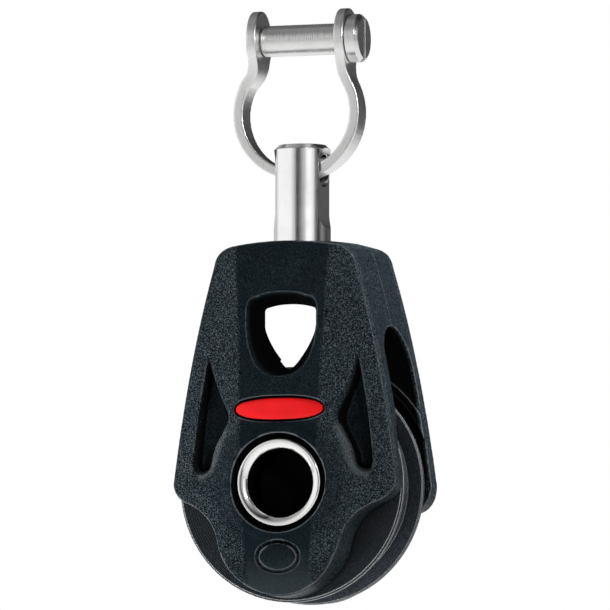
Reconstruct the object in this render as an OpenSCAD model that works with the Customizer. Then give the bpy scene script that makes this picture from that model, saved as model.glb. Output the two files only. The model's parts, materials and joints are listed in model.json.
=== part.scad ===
// Single swivel block with a ball bearing sheave, hung from a bow shackle.
// The origin is the centre of the shackle pin. The pin lies along X, the block
// hangs down along -Z, and the front cheek faces -Y.
// Most modules draw in the hub frame, whose origin is the centre of the sheave.

/* [Sheave] */
// Diameter of the sheave over its flanges
sheave_d = 30; // [28:0.5:30]
// Width of the sheave over its flat faces
sheave_w = 9; // [8.6:0.1:9.2]
// Radius at the bottom of the rope groove
groove_r = 10.6; // [10.2:0.1:11]
// Width of the groove between the flange rims
groove_w = 7.4; // [6.8:0.1:7.6]

/* [Bearing] */
// Diameter of one bearing ball
ball_d = 2.4; // [2.2:0.1:2.4]
// Radius of the circle that the ball centres lie on
ball_circle_r = 7.6; // [7.6:0.05:7.7]
// Balls in each of the two rows
ball_count = 18; // [12:1:18]
// Distance of each ball row from the middle of the sheave
row_y = 1.85; // [1.8:0.05:1.95]

/* [Hub] */
// Bore of the flared hub tube
hub_bore_d = 8.3; // [8:0.1:8.4]
// Wall of the hub tube
hub_wall = 0.55; // [0.5:0.05:0.6]
// Diameter of the flared rim of the hub tube
flare_d = 11.2; // [10.8:0.1:11.4]
// Distance of the flared rim from the middle of the block
flare_y = 9.6; // [9.4:0.1:9.8]
// Diameter of the recess round the flared rim
recess_d = 12.6; // [12.2:0.1:12.8]

/* [Housing] */
// Height of the head's crown above the hub centre
head_z = 31.5; // [31.3:0.1:31.7]
// Half width of the housing at its shoulders
shoulder_x = 15.6; // [15.4:0.1:15.8]
// Half thickness of the housing at the hub
hub_face_y = 10; // [9.9:0.1:10.2]
// Half thickness of the housing at the crown
crown_face_y = 7.8; // [7.7:0.1:8]
// How far the side facets fall back for each mm of width
facet_slope = 0.275; // [0.25:0.005:0.3]
// Lowest point of the tongue below the hub centre
tongue_z = 14.7; // [14.4:0.1:14.8]
// Radius of the tongue's round end
tongue_r = 8.9; // [8.8:0.05:9]

/* [Swivel] */
// Diameter of the swivel post
post_d = 7.3; // [7:0.1:7.4]
// Height of the post's top above the hub centre
post_top_z = 43.7; // [43.5:0.1:43.9]
// Thickness of the post across its milled flats
post_flat_w = 5.8; // [5.6:0.1:6]
// Diameter of the cross eye
eye_d = 4.2; // [4.1:0.1:4.3]
// Height of the cross eye above the hub centre
eye_z = 40.4; // [40.3:0.1:40.5]
// Diameter of the post's foot, which the head holds
foot_d = 9.8; // [9.6:0.1:10]

/* [Shackle] */
// Distance from the hub centre up to the shackle pin
pin_z = 57.3; // [57.2:0.1:57.6]
// Diameter of the shackle pin between the ears
pin_d = 4; // [3.9:0.1:4]
// Clear gap between the shackle ears
jaw_w = 10.5; // [10.3:0.1:10.7]
// Thickness of the shackle strip
strip_t = 1.3; // [1.2:0.05:1.3]
// Width of the shackle strip
strip_w = 3.2; // [2.8:0.1:3.2]
// Outer radius of the round part of the bow
bow_r = 8.5; // [8.3:0.1:8.6]
// Height of the flattened ears
ear_d = 7.8; // [7.6:0.1:8]
// Width of the flattened ears
ear_w = 6.8; // [6.4:0.1:7.2]

/* [Hidden] */

$fn = 96;
// A length that runs past the faces it cuts
past = 1;
// Gap between parts that turn past each other
turn_gap = 0.3;
// Gap between a shaft and the bore it turns in
run_gap = 0.08;

// Colours
steel = [0.74, 0.74, 0.73];
polished = [0.86, 0.86, 0.86];
nylon = [0.11, 0.12, 0.13];
acetal = [0.15, 0.16, 0.18];
ball_white = [0.9, 0.9, 0.87];
badge_red = [0.78, 0.06, 0.07];

// Sheave and its space
sheave_r = sheave_d / 2;
groove_arc_r = 4.4;
inner_face_y = sheave_w / 2 + turn_gap;
sheave_space_r = sheave_r + 0.9;
ledge_chamfer = 0.35;
throat_half = 4.1;
throat_top_z = 20.2;

// Bearing
ball_r = ball_d / 2;
race_inner_r = ball_circle_r - ball_r - run_gap;
race_outer_r = ball_circle_r + ball_r + run_gap;
race_half_w = row_y + ball_r + 0.15;
race_lip_r = race_inner_r + 0.6;
rib_half_w = row_y - ball_r - 0.1;
rib_r = race_outer_r - 0.75;
boss_r = race_outer_r - 0.5;

// Hub
tube_r = hub_bore_d / 2 + hub_wall;
flare_depth = 1.2;
recess_floor_y = flare_y - 0.95;
plug_half = 1.5;

// Share by which the front cheek narrows and shortens from the parting plane to its face
side_draft = 0.07;
end_draft = 0.028;

// Facet geometry: the middle facet narrows towards the tongue
facet_x_hub = 4.75;
facet_x_rise = 0.0457;
face_fall = (hub_face_y - crown_face_y) / (head_z - past);

// Thickness of the rear cheek's side walls: its facets are flatter, and its throat wall
// stands further from the sheave
rear_slope_less = 0.07;
rear_throat_half = 5.4;
guard_rib_w = 1.1;
rear_shoulder_drop = 0.25;
front_shoulder_drop = -0.5;

// Head and swivel
post_r = post_d / 2;
neck_r = post_r + run_gap;
foot_r = foot_d / 2;
foot_space_r = foot_r + turn_gap;
washer_r = foot_space_r - 0.1;
washer_t = 0.6;
axial_gap = 0.05;
foot_space_z0 = 25.4;
foot_z0 = foot_space_z0 + washer_t + axial_gap;
foot_z1 = foot_z0 + 1.6;
upper_washer_z0 = foot_z1 + axial_gap;
foot_space_z1 = upper_washer_z0 + washer_t;
post_chamfer = 0.6;
flat_z0 = 35.1;
flat_z1 = 41.5;
runout_r = 4.2;
dowel_x = 7.5;
dowel_z = 27.4;
dowel_r = 0.9;
dowel_half = 4.5;

// Window through the head. The front cheek's walls lean in to a narrow shield, from where
// the window widens again towards the back of the rear cheek.
window_x = 4.8;
window_top_z = 24.5;
window_tip_z = 13.6;
shield_x = 3.4;
shield_top_z = 22.95;
shield_tip_z = 14.5;
shield_y = 4.6;
window_parting_x = 5.3;
window_parting_top_z = 23.9;
window_rear_x = 8.9;
window_rear_top_z = 24.9;
window_face_y = 8.7;

// Wall between a pocket's floor and the space for the sheave
pocket_wall = 1.1;

// Badge and oval mark
badge_w = 11.6;
badge_h = 2.75;
badge_z = 9.4;
badge_t = 0.45;
badge_recess_depth = 0.6;
badge_margin = 0.28;
mark_w = 5.8;
mark_h = 4.1;
mark_z = -9.4;
mark_line = 0.3;
mark_depth = 0.25;

// Shackle
pin_r = pin_d / 2;
ear_x = jaw_w / 2 + strip_t / 2;
bow_mid_r = bow_r - strip_t / 2;
bow_drop = 0.45;
bow_z = eye_z + bow_mid_r - bow_drop;
// The bow is bent a little off the middle, towards the threaded ear
bow_shift = 0.35;
pin_head_r = 3.1;
pin_head_t = 1.75;
slot_w = 0.8;
slot_depth = 0.8;
shoulder_r = pin_r + 0.25;
thread_r = pin_r - 0.35;

// Points along an arc, from angle a0 to angle a1
function arc_points(cx, cy, r, a0, a1, n) =
    [for (i = [0:n]) [cx + r * cos(a0 + (a1 - a0) * i / n), cy + r * sin(a0 + (a1 - a0) * i / n)]];

// Points along a curve that leaves p0 towards p1 and arrives at p2
function curve_points(p0, p1, p2, n) =
    [for (i = [0:n]) let (t = i / n) (1 - t) * (1 - t) * p0 + 2 * t * (1 - t) * p1 + t * t * p2];

// The same points on the other side of the middle line, in reverse order
function mirrored_points(points) = [for (i = [len(points) - 1:-1:0]) [-points[i][0], points[i][1]]];

// The same points in reverse order
function reversed(points) = [for (i = [len(points) - 1:-1:0]) points[i]];

// The same points below the middle plane, in reverse order
function lower_points(points) = [for (i = [len(points) - 1:-1:0]) [points[i][0], -points[i][1]]];

// An oval that is a little fuller than an ellipse
function oval_points(w, h, fullness, n) =
    [for (i = [0:n - 1]) let (a = 360 * i / n, c = cos(a), s = sin(a))
        [w / 2 * sign(c) * pow(abs(c), 2 / fullness), h / 2 * sign(s) * pow(abs(s), 2 / fullness)]];

// Moves what is drawn in the hub frame to its place below the shackle pin
module in_hub_frame() {
    translate([0, 0, -pin_z]) children();
}

// Turns a plan drawn in X and Z into a slab between two depths on the front side
module front_slab(y0, y1) {
    translate([0, -y0, 0]) rotate([90, 0, 0]) linear_extrude(y1 - y0) children();
}

// A cylinder along Y between two depths on the front side
module front_rod(r, y0, y1) {
    front_slab(y0, y1) circle(r);
}

// Right half of the housing's outline, from the crown down to the tongue
crown_r = 43.6;
crown_x = 6.6;
crown_angle = asin(crown_x / crown_r);
crown_points = arc_points(0, head_z - crown_r, crown_r, 90, 90 - crown_angle, 6);
corner_points = curve_points([crown_x, head_z - 0.5], [9.6, head_z - 0.8], [9.95, 28.3], 8);
side_points = curve_points([9.95, 28.3], [13.65, 16], [shoulder_x, 0.2], 16);
shoulder_start = [shoulder_x, 0.2];
shoulder_end = [13.9, -2.8];
waist_end = [8.7, -7.65];
tongue_points = arc_points(0, tongue_r - tongue_z, tongue_r, -12, -90, 14);

// The shoulders can sit a little lower, as they do on the rear cheek
function shoulder_points(drop) = concat(
    curve_points(shoulder_start, [shoulder_x, -1.8 - drop], shoulder_end - [0, drop], 7),
    curve_points(shoulder_end - [0, drop], [9.6, -4.3 - drop], waist_end, 10));

module housing_outline(drop) {
    half = concat(crown_points, corner_points, side_points, shoulder_points(drop), tongue_points);
    polygon(concat(half, mirrored_points(half)));
}

// One outline of the window, from its arched top down to its tip. The fullness moves its
// lower corners out, from straight sides that meet in a point to a round end.
function window_points(half_w, top_z, tip_z, corner, fullness) = let (
    corner_z = top_z - 0.12 * half_w,
    side_z = corner_z - 0.3 * (top_z - tip_z),
    low_point = [half_w * (0.8 + 0.1 * fullness), tip_z + (1 - fullness) * 0.35 * (top_z - tip_z)],
    side = concat(curve_points([0, top_z], [half_w / 2, top_z], [half_w - corner, corner_z], 4),
        curve_points([half_w - corner, corner_z], [half_w, corner_z - 0.1], [half_w, corner_z - corner], 6),
        curve_points([half_w, side_z], low_point, [0, tip_z], 16)))
    concat(side, mirrored_points(side));

window_rim = window_points(window_x, window_top_z, window_tip_z, 1.6, 1);
window_shield = window_points(shield_x, shield_top_z, shield_tip_z, 0.4, 0);
window_parting = window_points(window_parting_x, window_parting_top_z, window_tip_z, 0.5, 1);
window_rear = window_points(window_rear_x, window_rear_top_z, window_tip_z, 1.6, 1);

// A hole between two outlines with the same number of points, an inner one at one depth
// and an outer one at a greater depth. It runs on past the outer one through the cheek's
// face, and below the inner one where it goes right through.
module lofted_hole(inner, inner_y, outer, outer_y, under = 0) {
    n = len(inner);
    reach = 1 + past / (outer_y - inner_y);
    start = -under / (outer_y - inner_y);
    inner_ring = [for (i = [0:n - 1]) let (p = inner[i] + (outer[i] - inner[i]) * start)
        [p[0], under - inner_y, p[1]]];
    outer_ring = [for (i = [0:n - 1]) let (p = inner[i] + (outer[i] - inner[i]) * reach)
        [p[0], -outer_y - past, p[1]]];
    walls = [for (i = [0:n - 1]) let (j = (i + 1) % n) each [[i, j, n + j], [i, n + j, n + i]]];
    lid = [for (i = [n - 1:-1:0]) i];
    base = [for (i = [0:n - 1]) n + i];
    polyhedron(points = concat(inner_ring, outer_ring), faces = concat([lid, base], walls));
}

// Mouth of the right side pocket, from its apex down the inner side and up the outer side
pocket_mouth = concat(
    curve_points([9.95, 18.3], [8.9, 12.8], [7.3, 10.2], 8),
    curve_points([7.3, 10.2], [6.3, 8.6], [7.4, 7.2], 4),
    curve_points([8.5, 5.4], [9, 4.6], [9.2, 3.3], 4),
    curve_points([9.5, 2], [10, 1.1], [11.1, 1.1], 5),
    curve_points([11.5, 1.1], [12.7, 1.3], [12.4, 3.4], 5),
    curve_points([12, 7], [11.4, 11.6], [10.2, 17.6], 5));
pocket_mouth_y = 8.8;

// Its floor in the same order, smaller than the mouth because the walls lean
pocket_floor = concat(
    curve_points([9.95, 13.4], [8.9, 11], [8.4, 9.6], 8),
    curve_points([8.4, 9.6], [7.7, 8.1], [8.4, 6.8], 4),
    curve_points([9.2, 5.2], [9.6, 4.3], [9.9, 3.5], 4),
    curve_points([10.05, 2.7], [10.4, 2.1], [10.8, 2.1], 5),
    curve_points([11.1, 2.1], [11.4, 2.3], [11.3, 3.4], 5),
    curve_points([11, 6.5], [10.6, 10], [10.05, 13.2], 5));

module side_pocket(floor_y) {
    lofted_hole(reversed(pocket_floor), floor_y, reversed(pocket_mouth), pocket_mouth_y);
}

// Side view of one cheek: half the thickness at each height
module cheek_side_view() {
    polygon([[0, head_z + past], [-crown_face_y + face_fall, head_z + past], [-hub_face_y, past],
        [-hub_face_y, -6], [-hub_face_y + 0.3, -tongue_z - past], [0, -tongue_z - past]]);
}

// Plan of the two side facets, which meet in front of the middle facet
module cheek_plan(slope) {
    side_face_y = hub_face_y + face_fall + slope * facet_x_hub;
    reach = shoulder_x + 2;
    polygon([[0, 0], [-reach, 0], [-reach, -side_face_y + slope * reach], [0, -side_face_y],
        [reach, -side_face_y + slope * reach], [reach, 0]]);
}

// The block that the front cheek is cut from
module cheek_blank(scales, slope, drop) {
    height = head_z + tongue_z + 8;
    side_fall = face_fall - slope * facet_x_rise;
    intersection() {
        rotate([90, 0, 0]) linear_extrude(hub_face_y + past, scale = scales, slices = 1)
            housing_outline(drop);
        rotate([90, 0, 90]) translate([0, 0, -shoulder_x - past])
            linear_extrude(2 * shoulder_x + 2 * past) cheek_side_view();
        rotate([-atan(side_fall), 0, 0]) translate([0, 0, -tongue_z - 4])
            linear_extrude(height) cheek_plan(slope);
    }
}

// The rope throat, an arched tunnel along X over the sheave
module throat(half_w) {
    arch_z = throat_top_z - half_w;
    length = 2 * shoulder_x + 4;
    translate([-length / 2, 0, 0]) rotate([90, 0, 90]) linear_extrude(length) union() {
        translate([0, arch_z]) circle(half_w);
        translate([-half_w, -tongue_z - 4]) square([2 * half_w, arch_z + tongue_z + 4]);
    }
}

// The low rib round the sheave that keeps the rope out of the gap beside it
module guard_rib() {
    difference() {
        front_rod(sheave_space_r + guard_rib_w, inner_face_y, rear_throat_half + past);
        front_rod(sheave_space_r, 0, rear_throat_half + 2 * past);
    }
}

module badge_plan(grow) {
    polygon(oval_points(badge_w + 2 * grow, badge_h + 2 * grow, 2.4, 64));
}

// Places something flat on the middle facet at a height above the hub
module on_front_facet(z) {
    face_y = hub_face_y - face_fall * (z - past);
    translate([0, -face_y, z]) rotate([-atan(face_fall), 0, 0]) children();
}

// The raised oval line's groove on the tongue
module oval_mark() {
    translate([0, 0, mark_z]) front_slab(hub_face_y - mark_depth - 0.1, hub_face_y + past) difference() {
        polygon(oval_points(mark_w, mark_h, 2.1, 48));
        polygon(oval_points(mark_w - 2 * mark_line, mark_h - 2 * mark_line, 2.1, 48));
    }
}

module front_window() {
    lofted_hole(window_parting, 0, window_shield, shield_y, past);
    lofted_hole(window_shield, shield_y, window_rim, window_face_y);
}

module rear_window() {
    lofted_hole(window_parting, 0, window_rear, hub_face_y, past);
}

// Everything but the window that turns the blank into a cheek
module cheek_cuts(throat_w) {
    difference() {
        throat(throat_w);
        guard_rib();
    }
    front_rod(sheave_space_r, -past, inner_face_y);
    translate([0, -throat_half, 0]) rotate([90, 0, 0])
        cylinder(r1 = sheave_space_r + ledge_chamfer, r2 = sheave_space_r, h = ledge_chamfer);
    for (side = [0, 1]) {
        mirror([side, 0, 0]) side_pocket(max(throat_w, inner_face_y) + pocket_wall);
    }
    on_front_facet(badge_z) front_slab(-badge_recess_depth, past) badge_plan(badge_margin);
    oval_mark();
}

// Everything that is cut through the cheek and its hub boss
module cheek_bores() {
    front_rod(recess_d / 2, recess_floor_y, hub_face_y + past);
    front_rod(tube_r, 0, hub_face_y + past);
    translate([0, 0, foot_space_z1]) cylinder(r = neck_r, h = head_z);
    translate([0, 0, foot_space_z0]) cylinder(r = foot_space_r, h = foot_space_z1 - foot_space_z0);
    for (x = [-dowel_x, dowel_x]) {
        translate([x, 0, dowel_z]) front_rod(dowel_r, -past, dowel_half);
    }
}

// One cheek: a faceted plate with a solid head, side pockets, a hub boss and, as its
// child, the cut of its window
module cheek(scales, throat_w, slope, drop) {
    difference() {
        union() {
            difference() {
                cheek_blank(scales, slope, drop);
                cheek_cuts(throat_w);
                children();
            }
            front_rod(boss_r, race_half_w, max(throat_w, inner_face_y) + 0.1);
        }
        cheek_bores();
    }
}

module front_cheek() {
    color(nylon) in_hub_frame()
        cheek([1 - side_draft, 1 - end_draft], throat_half, facet_slope, front_shoulder_drop)
            front_window();
}

module rear_cheek() {
    color(nylon) in_hub_frame() mirror([0, 1, 0])
        cheek([1, 1], rear_throat_half, facet_slope - rear_slope_less, rear_shoulder_drop)
            rear_window();
}

// Two steel dowels that keep the halves of the head in line
module head_dowels() {
    color(steel) in_hub_frame() for (x = [-dowel_x, dowel_x]) {
        translate([x, dowel_half, dowel_z]) rotate([90, 0, 0]) cylinder(r = dowel_r, h = 2 * dowel_half);
    }
}

// A stainless tube, flared at both ends over the cheeks
module hub_tube() {
    r0 = hub_bore_d / 2;
    lip_r = flare_d / 2;
    turn = flare_depth;
    inner = [for (i = [0:10]) let (a = 90 * i / 10)
        [r0 + (lip_r - 0.28 - r0) * (1 - cos(a)), flare_y - turn * (1 - sin(a)) - 0.14]];
    rim = arc_points(lip_r - 0.28, flare_y - 0.42, 0.28, 90, -60, 6);
    under = arc_points(tube_r + 0.5, recess_floor_y, 0.5, 120, 180, 6);
    outer = [[tube_r, recess_floor_y - 1.5]];
    half = concat(inner, rim, under, outer);
    color(polished) in_hub_frame() rotate([90, 0, 0]) rotate_extrude()
        polygon(concat(half, lower_points(half)));
}

// The black disc that closes the hub tube half way through
module hub_plug() {
    color(nylon) in_hub_frame() translate([0, -plug_half, 0]) mirror([0, 1, 0])
        front_rod(hub_bore_d / 2, -2 * plug_half, 0);
}

// One half of the inner race, with a lip that keeps its ball row in
module inner_race() {
    lip_y = row_y + ball_r - 0.25;
    rotate([90, 0, 0]) rotate_extrude() polygon([[tube_r, 0], [race_inner_r, 0],
        [race_inner_r, lip_y], [race_lip_r, race_half_w], [tube_r, race_half_w]]);
}

module front_inner_race() {
    color(acetal) in_hub_frame() inner_race();
}

module rear_inner_race() {
    color(acetal) in_hub_frame() mirror([0, 1, 0]) inner_race();
}

// One row of loose balls
module ball_row(y) {
    for (i = [0:ball_count - 1]) {
        rotate([0, 360 * i / ball_count, 0]) translate([ball_circle_r, y, 0]) sphere(r = ball_r, $fn = 32);
    }
}

module front_balls() {
    color(ball_white) in_hub_frame() ball_row(-row_y);
}

module rear_balls() {
    color(ball_white) in_hub_frame() ball_row(row_y);
}

// The sheave: a round rope groove between two flanges, and two ball tracks in its bore
module sheave() {
    half_w = sheave_w / 2;
    rim_y = groove_w / 2;
    groove_z = groove_r + groove_arc_r;
    wall_angle = 28;
    groove = arc_points(groove_z, 0, groove_arc_r, 180, 180 - (90 - wall_angle), 10);
    rim = [[sheave_r - 0.15, rim_y - 0.1], [sheave_r, rim_y + 0.05], [sheave_r, half_w - 0.25]];
    edge = [[sheave_r - 0.25, half_w]];
    bore = [[race_outer_r + 0.3, half_w], [race_outer_r, half_w - 0.3], [race_outer_r, rib_half_w],
        [rib_r, rib_half_w], [rib_r, 0]];
    half = concat(groove, rim, edge, bore);
    color(acetal) in_hub_frame() rotate([90, 0, 0]) rotate_extrude()
        polygon(concat(half, lower_points(half)));
}

// An oval inlay in the middle facet over the hub
module badge() {
    on_front_facet(badge_z) front_slab(-badge_recess_depth, badge_t - badge_recess_depth) badge_plan(0);
}

module front_badge() {
    color(badge_red) in_hub_frame() badge();
}

module rear_badge() {
    color(badge_red) in_hub_frame() mirror([0, 1, 0]) badge();
}

// Thrust washers above and below the post's foot
module upper_thrust_washer() {
    color(ball_white) in_hub_frame() translate([0, 0, upper_washer_z0]) difference() {
        cylinder(r = washer_r, h = washer_t);
        translate([0, 0, -past]) cylinder(r = neck_r + 0.1, h = washer_t + 2 * past);
    }
}

module lower_thrust_washer() {
    color(ball_white) in_hub_frame() translate([0, 0, foot_space_z0]) difference() {
        cylinder(r = washer_r, h = washer_t);
        translate([0, 0, -past]) cylinder(r = 1.6, h = washer_t + 2 * past);
    }
}

// What a milling cutter takes off one side of the post
module post_flat_cut() {
    flat_x = post_flat_w / 2;
    reach = post_r + past;
    top_arc = arc_points(flat_x + runout_r, flat_z1 - 0.2, runout_r, 180, 152, 6);
    foot_arc = arc_points(flat_x + runout_r, flat_z0, runout_r, 208, 180, 6);
    rotate([90, 0, 0]) translate([0, 0, -reach]) linear_extrude(2 * reach)
        polygon(concat(foot_arc, top_arc, [[reach, flat_z1 + 2.4], [reach, flat_z0 - 2.7]]));
}

// The turned post, with flats, a cross eye and a foot that the head holds
module swivel_post() {
    color(steel) in_hub_frame() difference() {
        union() {
            translate([0, 0, foot_z0]) cylinder(r = foot_r, h = foot_z1 - foot_z0);
            rotate_extrude() polygon([[0, foot_z0], [post_r, foot_z0],
                [post_r, post_top_z - post_chamfer], [post_r - post_chamfer, post_top_z], [0, post_top_z]]);
        }
        post_flat_cut();
        mirror([1, 0, 0]) post_flat_cut();
        translate([-post_r - past, 0, eye_z]) rotate([0, 90, 0]) cylinder(d = eye_d, h = post_d + 2 * past);
    }
}

// Centre line of one half of the shackle strip: an arc for the bow, whose centre lies at
// a distance from the middle, and a swept neck up to the ear
bow_turn = 120;
neck_z = pin_z - 3;
function strip_line(centre_x) = let (
    bow_line = arc_points(centre_x, bow_z, bow_mid_r, -90, bow_turn - 90, 24),
    bow_end = bow_line[24],
    neck_line = curve_points(bow_end, [ear_x + 0.05, bow_end[1] + 1.1], [ear_x, neck_z], 8))
    concat(bow_line, [for (i = [1:8]) neck_line[i]], [[ear_x, pin_z + ear_d / 2]]);

// The line moved sideways, to one of the strip's faces
function strip_side(line, offset) = [for (i = [0:len(line) - 1])
    let (a = line[max(i - 1, 0)], b = line[min(i + 1, len(line) - 1)], d = (b - a) / norm(b - a))
    line[i] + offset * [d[1], -d[0]]];

module strip_half(centre_x) {
    line = strip_line(centre_x);
    rotate([90, 0, 0]) translate([0, 0, -ear_d]) linear_extrude(2 * ear_d)
        polygon(concat(strip_side(line, strip_t / 2), reversed(strip_side(line, -strip_t / 2))));
}

// Side view of the shackle: a narrow strip that widens into the round ears
module strip_side_view() {
    half = strip_w / 2;
    low = bow_z - bow_r - past;
    ear = [for (i = [0:16]) let (a = 120 * i / 16 - 30) [ear_w / 2 * cos(a), pin_z + ear_d / 2 * sin(a)]];
    flank = curve_points([half, pin_z - 7], [half + 0.2, pin_z - 4.4], ear[0] + [-0.25, -0.5], 8);
    side = concat([[half, low]], flank, ear);
    polygon(concat(side, mirrored_points(side)));
}

module shackle_bow() {
    reach = bow_r + 2;
    color(steel) in_hub_frame() difference() {
        intersection() {
            union() {
                strip_half(-bow_shift);
                mirror([1, 0, 0]) strip_half(bow_shift);
            }
            rotate([90, 0, 90]) translate([0, 0, -reach]) linear_extrude(2 * reach) strip_side_view();
        }
        translate([0, 0, pin_z]) rotate([0, 90, 0]) cylinder(r = shoulder_r + run_gap, h = reach);
        translate([0, 0, pin_z]) rotate([0, -90, 0]) cylinder(r = thread_r + run_gap, h = reach);
    }
}

// The stepped pin: a threaded tip, a shank between the ears and a slotted head
module shackle_pin() {
    seat = jaw_w / 2 - 0.05;
    ear_out = jaw_w / 2 + strip_t;
    head_x0 = ear_out + 0.1;
    head_x1 = head_x0 + pin_head_t;
    color(polished) difference() {
        rotate([0, 90, 0]) rotate_extrude() polygon([[0, -ear_out - 0.5], [thread_r - 0.35, -ear_out - 0.5],
            [thread_r, -ear_out - 0.15], [thread_r, -seat], [pin_r - 0.25, -seat], [pin_r, -seat + 0.3],
            [pin_r, seat - 0.05], [shoulder_r, seat], [shoulder_r, head_x0], [pin_head_r, head_x0],
            [pin_head_r, head_x1 - 0.45], [pin_head_r - 0.45, head_x1], [0, head_x1]]);
        translate([head_x1 - slot_depth, -slot_w / 2, -pin_head_r - past])
            cube([slot_depth + past, slot_w, 2 * pin_head_r + 2 * past]);
    }
}

shackle_bow();
shackle_pin();
swivel_post();
front_cheek();
rear_cheek();
head_dowels();
upper_thrust_washer();
lower_thrust_washer();
hub_tube();
hub_plug();
front_inner_race();
rear_inner_race();
front_balls();
rear_balls();
sheave();
front_badge();
rear_badge();
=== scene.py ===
import json
import math

import bmesh
import bpy
import numpy as np
from mathutils import Matrix, Vector
from mathutils.kdtree import KDTree


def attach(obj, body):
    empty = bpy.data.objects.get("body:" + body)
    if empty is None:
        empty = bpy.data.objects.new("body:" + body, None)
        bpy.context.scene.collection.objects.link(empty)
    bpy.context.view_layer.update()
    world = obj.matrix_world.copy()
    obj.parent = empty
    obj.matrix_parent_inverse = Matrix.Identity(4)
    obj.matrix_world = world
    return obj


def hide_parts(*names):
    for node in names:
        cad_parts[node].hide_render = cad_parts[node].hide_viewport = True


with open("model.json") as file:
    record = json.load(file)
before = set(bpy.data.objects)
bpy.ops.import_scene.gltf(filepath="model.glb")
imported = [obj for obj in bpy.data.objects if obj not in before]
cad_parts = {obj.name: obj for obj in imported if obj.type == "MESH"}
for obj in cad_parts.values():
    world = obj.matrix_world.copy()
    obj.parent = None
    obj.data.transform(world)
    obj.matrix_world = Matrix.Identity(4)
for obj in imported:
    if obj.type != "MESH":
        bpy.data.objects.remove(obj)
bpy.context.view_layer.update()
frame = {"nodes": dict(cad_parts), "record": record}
scene = bpy.context.scene
MM = 0.001
HUB = Vector((0, 0, -57.3 * MM))

# The cheeks' shape, in mm from the hub's axis, as the CAD source has it
# The face leans back above its foot
FACE_DEPTH = 10.0
FACE_FOOT = 1.0
FACE_LEAN = 0.0721
# The middle facet's half width at the hub's height, its growth per mm up, and the side facets' slope
FACET_EDGE = 4.75
FACET_SPREAD = 0.0457
FACET_SLOPE = 0.275
# The outer side's half width at the hub's height, its lean, its bulge and the front cheek's narrowing
SIDE_WIDTH = 15.6
SIDE_LEAN = 0.111
SIDE_BULGE = 0.00313
FRONT_NARROWING = 0.1
POCKET_FLOOR = 5.9
# Middle height and half sizes of the oval mark and of the badge, and the window's middle height
MARK_HEIGHT = -9.4
MARK_SIZE = (2.75, 1.9)
BADGE_HEIGHT = 9.4
BADGE_SIZE = (5.8, 1.375)
WINDOW_HEIGHT = 19.5
# The pockets' inner lower edges, as (distance from the middle, height), and how far their lips reach
LIP_LINE = ((7.6, 6.9), (8.4, 5.2), (9.0, 3.2), (9.8, 1.6), (11.1, 1.0))
LIP_REACH = 1.0


# Camera
IMAGE = 610
PIXELS_PER_MM = 7.83
AZIMUTH = math.radians(18.8)
ELEVATION = math.radians(-4.5)
DISTANCE = 0.95
SENSOR = 36
HUB_PIXEL = (302.3, 486.3)


def direction(azimuth, elevation):
    """Unit vector from the object, with the azimuth counted from the front."""
    return Vector((math.sin(azimuth) * math.cos(elevation), -math.cos(azimuth) * math.cos(elevation),
                   math.sin(elevation)))


def add_camera():
    out = direction(AZIMUTH, ELEVATION)
    right = Vector((math.cos(AZIMUTH), math.sin(AZIMUTH), 0))
    up = out.cross(right)
    middle = IMAGE / 2
    aim = HUB + right * ((middle - HUB_PIXEL[0]) / PIXELS_PER_MM * MM)
    aim += up * ((HUB_PIXEL[1] - middle) / PIXELS_PER_MM * MM)
    data = bpy.data.cameras.new("camera")
    data.sensor_width = SENSOR
    data.lens = SENSOR * DISTANCE / (IMAGE / PIXELS_PER_MM * MM)
    data.clip_start = 0.05
    data.clip_end = 20
    camera = bpy.data.objects.new("camera", data)
    turn = Matrix((right, up, out)).transposed().to_4x4()
    camera.matrix_world = Matrix.Translation(aim + out * DISTANCE) @ turn
    scene.collection.objects.link(camera)
    scene.camera = camera


add_camera()


# Node helpers
def new_material(name, colour, metallic, roughness):
    material = bpy.data.materials.new(name)
    material.use_nodes = True
    tree = material.node_tree
    shader = tree.nodes["Principled BSDF"]
    shader.inputs["Base Color"].default_value = (*colour, 1)
    shader.inputs["Metallic"].default_value = metallic
    shader.inputs["Roughness"].default_value = roughness
    return material, tree, shader


def math_node(tree, operation, *values):
    node = tree.nodes.new("ShaderNodeMath")
    node.operation = operation
    for socket, value in zip(node.inputs, values):
        if isinstance(value, (int, float)):
            socket.default_value = value
        else:
            tree.links.new(value, socket)
    return node.outputs[0]


def multiply(tree, a, b):
    return math_node(tree, "MULTIPLY", a, b)


def one_minus(tree, value):
    return math_node(tree, "SUBTRACT", 1.0, value)


def vector_node(tree, operation, *values):
    node = tree.nodes.new("ShaderNodeVectorMath")
    node.operation = operation
    for socket, value in zip(node.inputs, values):
        if isinstance(value, (tuple, Vector)):
            socket.default_value = value
        else:
            tree.links.new(value, socket)
    return node.outputs["Value" if operation in ("LENGTH", "DOT_PRODUCT") else "Vector"]


def object_coords(tree):
    return tree.nodes.new("ShaderNodeTexCoord").outputs["Object"]


def split(tree, vector):
    node = tree.nodes.new("ShaderNodeSeparateXYZ")
    tree.links.new(vector, node.inputs[0])
    return node.outputs


def from_hub(tree):
    """Place in mm from the hub's middle."""
    place = vector_node(tree, "SUBTRACT", object_coords(tree), HUB)
    return vector_node(tree, "MULTIPLY", place, (1 / MM, 1 / MM, 1 / MM))


def hub_radius(tree):
    """Distance from the hub's axis, in mm."""
    return vector_node(tree, "LENGTH", vector_node(tree, "MULTIPLY", from_hub(tree), (1, 0, 1)))


def noise(tree, vector, scale, detail, roughness):
    node = tree.nodes.new("ShaderNodeTexNoise")
    node.inputs["Scale"].default_value = scale
    node.inputs["Detail"].default_value = detail
    node.inputs["Roughness"].default_value = roughness
    tree.links.new(vector, node.inputs["Vector"])
    return node.outputs["Fac"]


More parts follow.
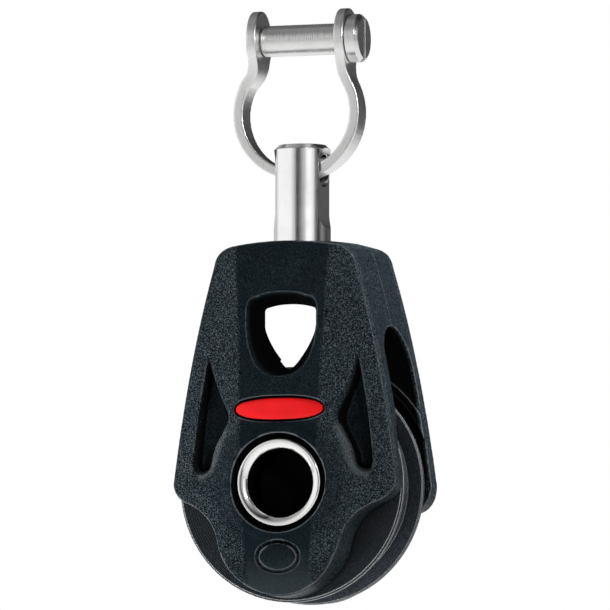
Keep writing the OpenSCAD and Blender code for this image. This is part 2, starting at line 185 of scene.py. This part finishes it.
def ramp(tree, value, *stops):
    node = tree.nodes.new("ShaderNodeValToRGB")
    elements = node.color_ramp.elements
    while len(elements) < len(stops):
        elements.new(0.5)
    for element, (position, colour) in zip(elements, stops):
        element.position = position
        element.color = (*colour, 1)
    tree.links.new(value, node.inputs[0])
    return node.outputs[0]


def map_range(tree, value, low, high, to_low=0.0, to_high=1.0):
    node = tree.nodes.new("ShaderNodeMapRange")
    tree.links.new(value, node.inputs["Value"])
    node.inputs["From Min"].default_value = low
    node.inputs["From Max"].default_value = high
    node.inputs["To Min"].default_value = to_low
    node.inputs["To Max"].default_value = to_high
    return node.outputs["Result"]


def fade(tree, value, low, high, to_low=0.0, to_high=1.0):
    """Map range with a soft start and end."""
    result = map_range(tree, value, low, high, to_low, to_high)
    result.node.interpolation_type = "SMOOTHSTEP"
    return result


def mix_colours(tree, factor, low, high):
    node = tree.nodes.new("ShaderNodeMix")
    node.data_type = "RGBA"
    tree.links.new(factor, node.inputs["Factor"])
    for index, value in ((6, low), (7, high)):
        if isinstance(value, tuple):
            node.inputs[index].default_value = (*value, 1)
        else:
            tree.links.new(value, node.inputs[index])
    return node.outputs[2]


def bump(tree, height, distance, strength, normal=None):
    node = tree.nodes.new("ShaderNodeBump")
    node.inputs["Strength"].default_value = strength
    node.inputs["Distance"].default_value = distance
    tree.links.new(height, node.inputs["Height"])
    if normal is not None:
        tree.links.new(normal, node.inputs["Normal"])
    return node.outputs["Normal"]


def openness(tree, distance):
    """1 in the open, towards 0 in corners and holes."""
    node = tree.nodes.new("ShaderNodeAmbientOcclusion")
    node.samples = 8
    node.inputs["Distance"].default_value = distance
    return node.outputs["AO"]


def rounded_edge(tree, radius):
    node = tree.nodes.new("ShaderNodeBevel")
    node.samples = 6
    node.inputs["Radius"].default_value = radius
    return node.outputs[0]


def edge_mask(tree, rounded):
    """1 on a sharp edge that the rounded normal bends over."""
    geometry = tree.nodes.new("ShaderNodeNewGeometry")
    straight = vector_node(tree, "DOT_PRODUCT", rounded, geometry.outputs["Normal"])
    return fade(tree, straight, 0.999, 0.90)


def connect(tree, shader, tint, normal, rough=None):
    tree.links.new(tint, shader.inputs["Base Color"])
    tree.links.new(normal, shader.inputs["Normal"])
    if rough is not None:
        tree.links.new(rough, shader.inputs["Roughness"])


# Materials
def cheek_masks(tree):
    """Height in mm, and masks: 1 beyond the middle facet, deep in an opening, on a pocket's floor and
    on the outer side."""
    x, y, z = split(tree, from_hub(tree))
    wide = math_node(tree, "ABSOLUTE", x)
    deep = math_node(tree, "ABSOLUTE", y)
    above = math_node(tree, "MAXIMUM", math_node(tree, "SUBTRACT", z, FACE_FOOT), 0.0)
    face = math_node(tree, "MULTIPLY_ADD", above, -FACE_LEAN, FACE_DEPTH)
    edge = math_node(tree, "MULTIPLY_ADD", z, FACET_SPREAD, FACET_EDGE)
    past_edge = math_node(tree, "SUBTRACT", wide, edge)
    grained = fade(tree, past_edge, -0.2, 0.3)
    facet = math_node(tree, "MULTIPLY_ADD", math_node(tree, "MAXIMUM", past_edge, 0.0), -FACET_SLOPE, face)
    # The housing's side bulges, and the front cheek narrows towards its face
    side = math_node(tree, "MULTIPLY_ADD", multiply(tree, z, z), -SIDE_BULGE, SIDE_WIDTH)
    side = math_node(tree, "MULTIPLY_ADD", z, -SIDE_LEAN, side)
    front = math_node(tree, "MAXIMUM", multiply(tree, y, -1.0), 0.0)
    side = math_node(tree, "MULTIPLY_ADD", front, -FRONT_NARROWING, side)
    inside = fade(tree, math_node(tree, "SUBTRACT", side, wide), 0.2, 0.6)
    # The openings lie between the hub's height and the head's crown
    between = multiply(tree, fade(tree, z, 0.5, 1.2), fade(tree, z, 26.2, 26.8, 1.0, 0.0))
    within = multiply(tree, inside, between)
    # The pockets have rounder mouths than the window, so their painted shade starts 0.4 mm deeper
    pocket = map_range(tree, wide, 6.2, 7.0)
    under = math_node(tree, "MULTIPLY_ADD", pocket, -0.4, math_node(tree, "SUBTRACT", facet, deep))
    below = fade(tree, under, 0.5, 1.1)
    off_floor = math_node(tree, "ABSOLUTE", math_node(tree, "SUBTRACT", deep, POCKET_FLOOR))
    level = fade(tree, off_floor, 0.1, 0.3, 1.0, 0.0)
    closed = multiply(tree, within, below)
    floor = multiply(tree, within, multiply(tree, level, pocket))
    wall = multiply(tree, below, one_minus(tree, inside))
    return z, grained, closed, floor, wall


def make_cheek():
    material, tree, shader = new_material("cheek_nylon", (0.007, 0.0095, 0.011), 0, 0.36)
    place = object_coords(tree)
    high, grained, closed, floor, wall = cheek_masks(tree)
    # The middle facet, the hub's ring, the side walls and the floors are smoother than the side facets
    graininess = math_node(tree, "MULTIPLY_ADD", grained, 0.8, 0.2)
    graininess = multiply(tree, graininess, fade(tree, hub_radius(tree), 7.5, 10.5, 0.35))
    smooth = math_node(tree, "MAXIMUM", multiply(tree, wall, 0.5), multiply(tree, floor, 0.7))
    graininess = multiply(tree, graininess, one_minus(tree, smooth))
    grain = noise(tree, place, 6200, 1.0, 0.5)
    pebble = noise(tree, place, 3400, 1.0, 0.5)
    skin = math_node(tree, "ADD", grain, multiply(tree, pebble, 0.15))
    normal = bump(tree, multiply(tree, skin, graininess), 0.00030, 1.0)
    # The tops of the grain are painted paler than the valleys: partly the grain's own tone, partly painted
    # glints
    tops = map_range(tree, skin, 0.52, 0.76)
    valleys = ramp(tree, noise(tree, place, 420, 3, 0.6),
                   (0.3, (0.0012, 0.0032, 0.0046)), (0.7, (0.0025, 0.0054, 0.0074)))
    # The tongue's end is rubbed smooth, and its middle is painted paler towards the end: a painted
    # highlight
    graininess = multiply(tree, graininess, fade(tree, high, -12.5, -6.5, 0.5))
    rub_and_painted_light = multiply(tree, fade(tree, high, -8.5, -13.5, 0.0, 0.5), one_minus(tree, grained))
    valleys = mix_colours(tree, rub_and_painted_light, valleys, (0.022, 0.027, 0.030))
    tint = mix_colours(tree, multiply(tree, tops, graininess), valleys, (0.050, 0.063, 0.071))
    # Painted shade: the corners and the openings are painted near black, and the pockets' floors keep most
    # of their tone
    unshaded = fade(tree, openness(tree, 0.010), 0.35, 0.75)
    unshaded = multiply(tree, unshaded, one_minus(tree, closed))
    unshaded = math_node(tree, "MAXIMUM", unshaded, multiply(tree, floor, 0.75))
    tint = mix_colours(tree, unshaded, (0.0006, 0.0007, 0.0008), tint)
    # The edges are painted paler: partly wear, partly painted highlights, weaker in the painted shade
    edge = tree.nodes.new("ShaderNodeAttribute")
    edge.attribute_name = "edge"
    wear_and_highlight = fade(tree, edge.outputs["Fac"], 0.014, 0.05, 0.0, 0.8)
    wear_and_highlight = multiply(tree, wear_and_highlight, math_node(tree, "MULTIPLY_ADD", unshaded, 0.6, 0.4))
    tint = mix_colours(tree, wear_and_highlight, tint, (0.11, 0.118, 0.124))
    # Corners and openings are dull
    rough = map_range(tree, noise(tree, place, 900, 2, 0.5), 0.3, 0.7, 0.26, 0.36)
    rough = math_node(tree, "ADD", rough, map_range(tree, unshaded, 0.0, 1.0, 0.6, 0.0))
    connect(tree, shader, tint, normal, rough)
    shader.inputs["IOR"].default_value = 1.13
    return material


def make_sheave():
    material, tree, shader = new_material("sheave_acetal", (0.012, 0.014, 0.018), 0, 0.32)
    place = object_coords(tree)
    ring = hub_radius(tree)
    # Turning marks, 0.3 mm apart
    turned = math_node(tree, "SINE", multiply(tree, ring, 2 * math.pi / 0.30))
    fine = noise(tree, place, 4200, 1.5, 0.5)
    height = math_node(tree, "ADD", multiply(tree, turned, 0.2), fine)
    rounded = rounded_edge(tree, 0.0002)
    normal = bump(tree, height, 0.00006, 0.8, rounded)
    rough = map_range(tree, noise(tree, place, 700, 2, 0.5), 0.3, 0.7, 0.26, 0.4)
    tint = ramp(tree, noise(tree, place, 300, 2, 0.5),
                (0.3, (0.004, 0.0055, 0.007)), (0.7, (0.007, 0.009, 0.0115)))
    tint = mix_colours(tree, fade(tree, fine, 0.52, 0.68, 0.0, 0.5), tint, (0.024, 0.028, 0.033))
    # Painted highlight: the sharp edges are painted nearly white
    tint = mix_colours(tree, edge_mask(tree, rounded), tint, (0.42, 0.43, 0.44))
    # The groove's walls are painted paler: partly the rope's wear, partly a painted sheen
    off_middle = math_node(tree, "ABSOLUTE", split(tree, from_hub(tree))[1])
    rub_and_painted_light = multiply(tree, fade(tree, off_middle, 4.2, 3.6, 0.0, 0.75), fade(tree, ring, 11.2, 13.5))
    rub_and_painted_light = multiply(tree, rub_and_painted_light, map_range(tree, fine, 0.35, 0.65, 0.4))
    tint = mix_colours(tree, rub_and_painted_light, tint, (0.034, 0.039, 0.045))
    # Painted shade: the corners are painted near black
    unshaded = fade(tree, openness(tree, 0.004), 0.2, 0.75)
    tint = mix_colours(tree, unshaded, (0.0008, 0.0009, 0.0010), tint)
    connect(tree, shader, tint, normal, rough)
    shader.inputs["IOR"].default_value = 1.28
    return material


def make_plastic(slot, low, high, roughness, grain=2600, depth=0.00002, gloss=0.5):
    material, tree, shader = new_material(slot, low, 0, roughness)
    place = object_coords(tree)
    tint = ramp(tree, noise(tree, place, 500, 2, 0.5), (0.3, low), (0.7, high))
    normal = bump(tree, noise(tree, place, grain, 2, 0.5), depth, 0.5, rounded_edge(tree, 0.00015))
    patch = noise(tree, place, 800, 2, 0.5)
    rough = map_range(tree, patch, 0.3, 0.7, roughness - 0.06, roughness + 0.08)
    connect(tree, shader, tint, normal, rough)
    shader.inputs["Specular IOR Level"].default_value = gloss
    return material


def make_steel(slot, colour, roughness, stretch, mark_scale, mark_depth):
    """Steel with fine marks that run along the stretched direction."""
    material, tree, shader = new_material(slot, colour, 1, roughness)
    place = object_coords(tree)
    marks = noise(tree, vector_node(tree, "MULTIPLY", place, stretch), mark_scale, 3, 0.65)
    patch = noise(tree, place, 380, 3, 0.6)
    pits = noise(tree, place, 3200, 2, 0.6)
    height = math_node(tree, "ADD", marks, multiply(tree, pits, 0.35))
    normal = bump(tree, height, mark_depth, 0.6, rounded_edge(tree, 0.00015))
    both = math_node(tree, "ADD", multiply(tree, marks, 0.5), multiply(tree, patch, 0.5))
    rough = map_range(tree, both, 0.35, 0.65, roughness - 0.04, roughness + 0.04)
    dark = tuple(c * 0.93 for c in colour)
    tint = ramp(tree, patch, (0.35, dark), (0.65, colour))
    connect(tree, shader, tint, normal, rough)
    return material


def make_hub():
    polished = (0.88, 0.88, 0.87)
    material, tree, shader = new_material("hub_steel", polished, 1, 0.1)
    patch = noise(tree, object_coords(tree), 900, 3, 0.6)
    # Painted shade: the bore behind the polished rims is painted dark
    at_end = fade(tree, math_node(tree, "ABSOLUTE", split(tree, from_hub(tree))[1]), 6.2, 8.8)
    off_bore = fade(tree, hub_radius(tree), 4.25, 4.6)
    unshaded = math_node(tree, "MAXIMUM", at_end, off_bore)
    tint = ramp(tree, unshaded, (0.0, (0.008, 0.008, 0.008)), (0.6, (0.30, 0.30, 0.30)), (1.0, polished))
    normal = bump(tree, patch, 0.000008, 0.6, rounded_edge(tree, 0.0001))
    connect(tree, shader, tint, normal, map_range(tree, patch, 0.35, 0.65, 0.07, 0.13))
    return material


def make_badge():
    material, tree, shader = new_material("badge_red", (0.55, 0.008, 0.012), 0, 0.22)
    place = object_coords(tree)
    tint = ramp(tree, noise(tree, place, 260, 2, 0.5),
                (0.3, (0.50, 0.001, 0.003)), (0.7, (0.59, 0.002, 0.004)))
    normal = bump(tree, noise(tree, place, 900, 2, 0.5), 0.00001, 0.4, rounded_edge(tree, 0.0002))
    connect(tree, shader, tint, normal)
    shader.inputs["Specular IOR Level"].default_value = 0.3
    shader.inputs["Coat Weight"].default_value = 0.15
    shader.inputs["Coat Roughness"].default_value = 0.08
    return material


# Two colours and a roughness, and for some the scale and depth of the grain and the gloss
PLASTICS = {
    "race_acetal": ((0.02, 0.02, 0.022), (0.03, 0.03, 0.032), 0.45),
    "ball_acetal": ((0.72, 0.71, 0.66), (0.78, 0.77, 0.73), 0.28, 1500, 0.000004),
    "washer_acetal": ((0.70, 0.69, 0.64), (0.76, 0.75, 0.71), 0.38),
    # The plug is painted near black and almost without gloss, a painted shade
    "plug_nylon": ((0.0008, 0.0008, 0.0008), (0.0015, 0.0015, 0.0015), 0.7, 2600, 0.00002, 0.02),
}
# Colour, roughness, and the stretch, scale and depth of the marks
STEELS = {
    "shackle_steel": ((0.82, 0.815, 0.81), 0.3, (1, 1, 1), 1500, 0.00003),
    "pin_steel": ((0.78, 0.78, 0.775), 0.24, (1, 0.03, 0.03), 9000, 0.00005),
    "post_steel": ((0.93, 0.93, 0.93), 0.15, (1, 1, 0.03), 5000, 0.000015),
    "dowel_steel": ((0.6, 0.6, 0.6), 0.3, (1, 0.1, 1), 3000, 0.00002),
}
MATERIALS = {
    "cheek_nylon": make_cheek(),
    "sheave_acetal": make_sheave(),
    "badge_red": make_badge(),
    "hub_steel": make_hub(),
}
MATERIALS.update({slot: make_plastic(slot, *values) for slot, values in PLASTICS.items()})
MATERIALS.update({slot: make_steel(slot, *values) for slot, values in STEELS.items()})

SLOT_OF = {part["node"]: part["material_slot"] for part in frame["record"]["subparts"]}
for node, slot in SLOT_OF.items():
    mesh = frame["nodes"][node].data
    mesh.materials.clear()
    mesh.materials.append(MATERIALS[slot])


# Soft moulded skins
BODY_OF = {node: body for body, nodes in frame["record"]["behaviour"]["bodies"].items() for node in nodes}
# How deep each relief is, in mm
GROOVE_DEPTH = 0.16
DISH_DEPTH = 0.22
STEP_DEPTH = 0.1
BOW_DEPTH = 0.9
LIP_ROUNDING = 0.5
BADGE_FALL = 0.14
# Half the groove's width in mm, and the height that the tongue's bow starts at and its length
GROOVE_REACH = 0.17
BOW_TOP = -7.5
BOW_LENGTH = 7.2
# Smoothing rounds that find the edges
EDGE_ROUNDS = 10
# How pale the pockets' lips are painted, a painted highlight, and the depth in mm from the middle beyond
# which they lie
LIP_HIGHLIGHT = 0.030
LIP_DEPTH = 7.2


def smooth_step(value, low, high):
    t = np.clip((value - low) / (high - low), 0, 1)
    return t * t * (3 - 2 * t)


def pocket_lip(x, z):
    """1 on the rounded lip along each pocket's inner lower edge, falling to 0 on both sides."""
    lip = np.zeros_like(x)
    for start, end in zip(LIP_LINE, LIP_LINE[1:]):
        run = np.array(end) - np.array(start)
        place = np.stack((np.abs(x) - start[0], z - start[1]))
        share = np.clip((run @ place) / (run @ run), 0, 1)
        gap = np.hypot(*(place - run[:, None] * share))
        lip = np.maximum(lip, np.exp(-(gap / LIP_REACH) ** 2))
    return lip


def mark_groove(x, z):
    """The oval mark's groove, in mm."""
    wide, tall = MARK_SIZE
    up = z - MARK_HEIGHT
    oval = np.sqrt(x * x / wide ** 2 + up ** 2 / tall ** 2)
    slope = np.sqrt(x * x / wide ** 4 + up ** 2 / tall ** 4) / np.maximum(oval, 0.001)
    return GROOVE_DEPTH * np.exp(-((oval - 1) / np.maximum(slope, 0.001) / GROOVE_REACH) ** 2)


def cheek_relief(x, y, z):
    """How far each point of a cheek's face lies under the plain facets, in mm."""
    face = FACE_DEPTH - FACE_LEAN * np.maximum(z - FACE_FOOT, 0)
    facet = face - FACET_SLOPE * np.maximum(np.abs(x) - FACET_EDGE - FACET_SPREAD * z, 0)
    on_face = 1 - smooth_step(facet - y, 0.5, 1.1)
    # The dish round the window, the low step round the hub and the bowed end of the tongue
    dish = DISH_DEPTH * (1 - smooth_step(np.hypot(x, (z - WINDOW_HEIGHT) * 0.85), 4.6, 9.0))
    ring = np.hypot(x, z)
    step = STEP_DEPTH * smooth_step(ring, 7.0, 7.8) * (1 - smooth_step(ring, 8.5, 11))
    bow = BOW_DEPTH * (np.maximum(BOW_TOP - z, 0) / BOW_LENGTH) ** 2
    return on_face * (mark_groove(x, z) + dish + step + bow + LIP_ROUNDING * pocket_lip(x, z))


def badge_relief(x, y, z):
    """The badge's face falls away from its middle to its rim."""
    across = (x / BADGE_SIZE[0]) ** 2 + ((z - BADGE_HEIGHT) / BADGE_SIZE[1]) ** 2
    return BADGE_FALL * np.clip(across, 0, 1) ** 2


def no_relief(x, y, z):
    return np.zeros_like(x)


def vertex_values(mesh, what):
    values = np.empty(len(mesh.vertices) * 3)
    mesh.vertices.foreach_get(what, values)
    return values.reshape(-1, 3)


def evaluated_mesh(obj):
    return bpy.data.meshes.new_from_object(obj.evaluated_get(bpy.context.evaluated_depsgraph_get()))


def add_smoothing(obj, rounds):
    smooth = obj.modifiers.new("smooth", "SMOOTH")
    smooth.factor = 0.5
    smooth.iterations = rounds


def soft_skin(node, voxel, rounds, relief, keep):
    """Covers a node with its own shape, its edges rounded as a mould leaves them."""
    work = bpy.data.objects.new("work", frame["nodes"][node].data.copy())
    scene.collection.objects.link(work)
    remesh = work.modifiers.new("remesh", "REMESH")
    remesh.mode = "VOXEL"
    remesh.voxel_size = voxel * MM
    add_smoothing(work, rounds)
    dense = evaluated_mesh(work)
    points = vertex_values(dense, "co")
    x, y, z = ((points - np.array(HUB)) / MM).T
    points[:, 1] -= np.sign(y) * relief(x, np.abs(y), z) * MM
    dense.vertices.foreach_set("co", points.ravel())
    dense.update()
    work.modifiers.clear()
    work.data = dense
    # An edge is where more smoothing would take the surface inwards, measured in mm
    add_smoothing(work, EDGE_ROUNDS)
    smoother = evaluated_mesh(work)
    edge = ((points - vertex_values(smoother, "co")) * vertex_values(dense, "normal")).sum(1) / MM
    # The pockets' lips get a painted highlight through the edge value
    if relief is cheek_relief:
        edge = np.maximum(edge, LIP_HIGHLIGHT * pocket_lip(x, z) * (np.abs(y) > LIP_DEPTH))
    work.modifiers.clear()
    thin = work.modifiers.new("thin", "DECIMATE")
    thin.ratio = keep
    mesh = evaluated_mesh(work)
    bpy.data.objects.remove(work)
    # The thinned mesh takes each point's edge value from the nearest point of the dense one
    nearest = KDTree(len(points))
    for index, point in enumerate(points):
        nearest.insert(point, index)
    nearest.balance()
    kept = [edge[nearest.find(point)[1]] for point in vertex_values(mesh, "co")]
    mesh.attributes.new("edge", "FLOAT", "POINT").data.foreach_set("value", kept)
    mesh.name = node + "_skin"
    mesh.shade_smooth()
    mesh.materials.clear()
    mesh.materials.append(MATERIALS[SLOT_OF[node]])
    skin = bpy.data.objects.new(node + "_skin", mesh)
    scene.collection.objects.link(skin)
    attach(skin, BODY_OF[node])
    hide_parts(node)


# Node, voxel in mm, smoothing rounds, relief, and the share of the faces that is kept
soft_skin("front_cheek", 0.14, 4, cheek_relief, 0.4)
soft_skin("rear_cheek", 0.14, 4, cheek_relief, 0.4)
soft_skin("front_badge", 0.06, 3, badge_relief, 0.5)
soft_skin("rear_badge", 0.06, 3, badge_relief, 0.5)
soft_skin("shackle_bow", 0.10, 12, no_relief, 0.6)


# Stage and light
FLOOR_HEIGHT = -0.22
FLOOR_COLOUR = (0.86, 0.86, 0.86)
FLOOR_SHARE = 0.75
LAMPS_AIM = Vector((0, 0, -0.035))
# Name, azimuth from the camera's and elevation in degrees, distance and size in m, power in W, glint
LAMPS = (
    ("key", -103, 8, 0.7, (0.12, 0.3), 8, False),
    ("front", 24, 22, 1.0, (0.1, 0.1), 4.5, True),
    ("top", 80, 55, 0.15, (0.04, 0.04), 0.5, False),
    ("low", -70, -48, 0.12, (0.05, 0.03), 0.16, False),
    ("strip", 62, 38, 0.5, (0.05, 0.12), 2.0, False),
    ("back", 172, 20, 1.0, (0.3, 0.3), 9, False),
)
# What polished steel sees all round: the angle from the camera's side, and how bright it is there
SURROUND = (
    (-180, 0.02), (-172, 0.55), (-125, 0.62), (-113, 1.0), (-50, 1.0), (-42, 0.8),
    (-30, 0.5), (-24, 0.05), (-12, 0.12), (0, 0.4), (10, 0.55), (20, 0.9),
    (36, 1.0), (45, 0.8), (54, 0.3), (62, 0.03), (73, 0.03), (82, 0.25),
    (95, 0.18), (112, 0.05), (142, 0.10), (165, 0.03), (180, 0.02),
)
AMBIENT = 0.05


def seen_directly(tree):
    """1 for what the camera, a reflection or a refraction sees, 0 for what lights the object."""
    path = tree.nodes.new("ShaderNodeLightPath")
    behind = math_node(tree, "MAXIMUM", path.outputs["Is Glossy Ray"], path.outputs["Is Transmission Ray"])
    return math_node(tree, "MAXIMUM", path.outputs["Is Camera Ray"], behind)


def mix_shaders(tree, factor, low, high, output):
    mix = tree.nodes.new("ShaderNodeMixShader")
    for socket, value in zip(mix.inputs, (factor, low.outputs[0], high.outputs[0])):
        tree.links.new(value, socket)
    tree.links.new(mix.outputs[0], tree.nodes[output].inputs[0])


def add_floor():
    mesh = bpy.data.meshes.new("floor")
    build = bmesh.new()
    bmesh.ops.create_grid(build, x_segments=1, y_segments=1, size=1.5)
    build.to_mesh(mesh)
    build.free()
    floor = bpy.data.objects.new("floor", mesh)
    floor.location = (0, 0, FLOOR_HEIGHT)
    scene.collection.objects.link(floor)
    material, tree, shader = new_material("floor", FLOOR_COLOUR, 0, 0.8)
    # Seen directly, the floor is as pale as the background, and it still takes a shadow
    pale = tree.nodes.new("ShaderNodeEmission")
    pale.inputs["Color"].default_value = (*FLOOR_COLOUR, 1)
    share = multiply(tree, seen_directly(tree), FLOOR_SHARE)
    mix_shaders(tree, share, shader, pale, "Material Output")
    mesh.materials.append(material)


def add_lamp(name, azimuth, elevation, distance, size, power, glint):
    """An area lamp that faces the object."""
    out = direction(AZIMUTH + math.radians(azimuth), math.radians(elevation))
    data = bpy.data.lights.new(name, "AREA")
    data.shape = "RECTANGLE"
    data.size, data.size_y = size
    data.energy = power
    lamp = bpy.data.objects.new(name, data)
    lamp.location = LAMPS_AIM + out * distance
    lamp.rotation_euler = out.to_track_quat("Z", "Y").to_euler()
    lamp.visible_camera = False
    lamp.visible_glossy = glint
    scene.collection.objects.link(lamp)


def add_world():
    world = bpy.data.worlds.new("world")
    world.use_nodes = True
    scene.world = world
    tree = world.node_tree
    dim = tree.nodes["Background"]
    dim.inputs["Color"].default_value = (1, 1, 1, 1)
    dim.inputs["Strength"].default_value = AMBIENT
    white = tree.nodes.new("ShaderNodeBackground")
    white.inputs["Strength"].default_value = 1.0
    ahead = (math.sin(AZIMUTH), -math.cos(AZIMUTH), 0)
    right = (math.cos(AZIMUTH), math.sin(AZIMUTH), 0)
    way = tree.nodes.new("ShaderNodeTexCoord").outputs["Generated"]
    angle = math_node(tree, "ARCTAN2", vector_node(tree, "DOT_PRODUCT", way, right),
                      vector_node(tree, "DOT_PRODUCT", way, ahead))
    turn = math_node(tree, "MULTIPLY_ADD", angle, 1 / (2 * math.pi), 0.5)
    studio = ramp(tree, turn, *(((degrees + 180) / 360, (v, v, v)) for degrees, v in SURROUND))
    studio = multiply(tree, studio, fade(tree, split(tree, way)[2], 0.2, 0.8, 1.0, 0.3))
    path = tree.nodes.new("ShaderNodeLightPath")
    pick = mix_colours(tree, path.outputs["Is Glossy Ray"], (1, 1, 1), studio)
    tree.links.new(pick, white.inputs["Color"])
    mix_shaders(tree, seen_directly(tree), dim, white, "World Output")


add_floor()
add_world()
for lamp_values in LAMPS:
    add_lamp(*lamp_values)
scene.view_settings.view_transform = "Standard"
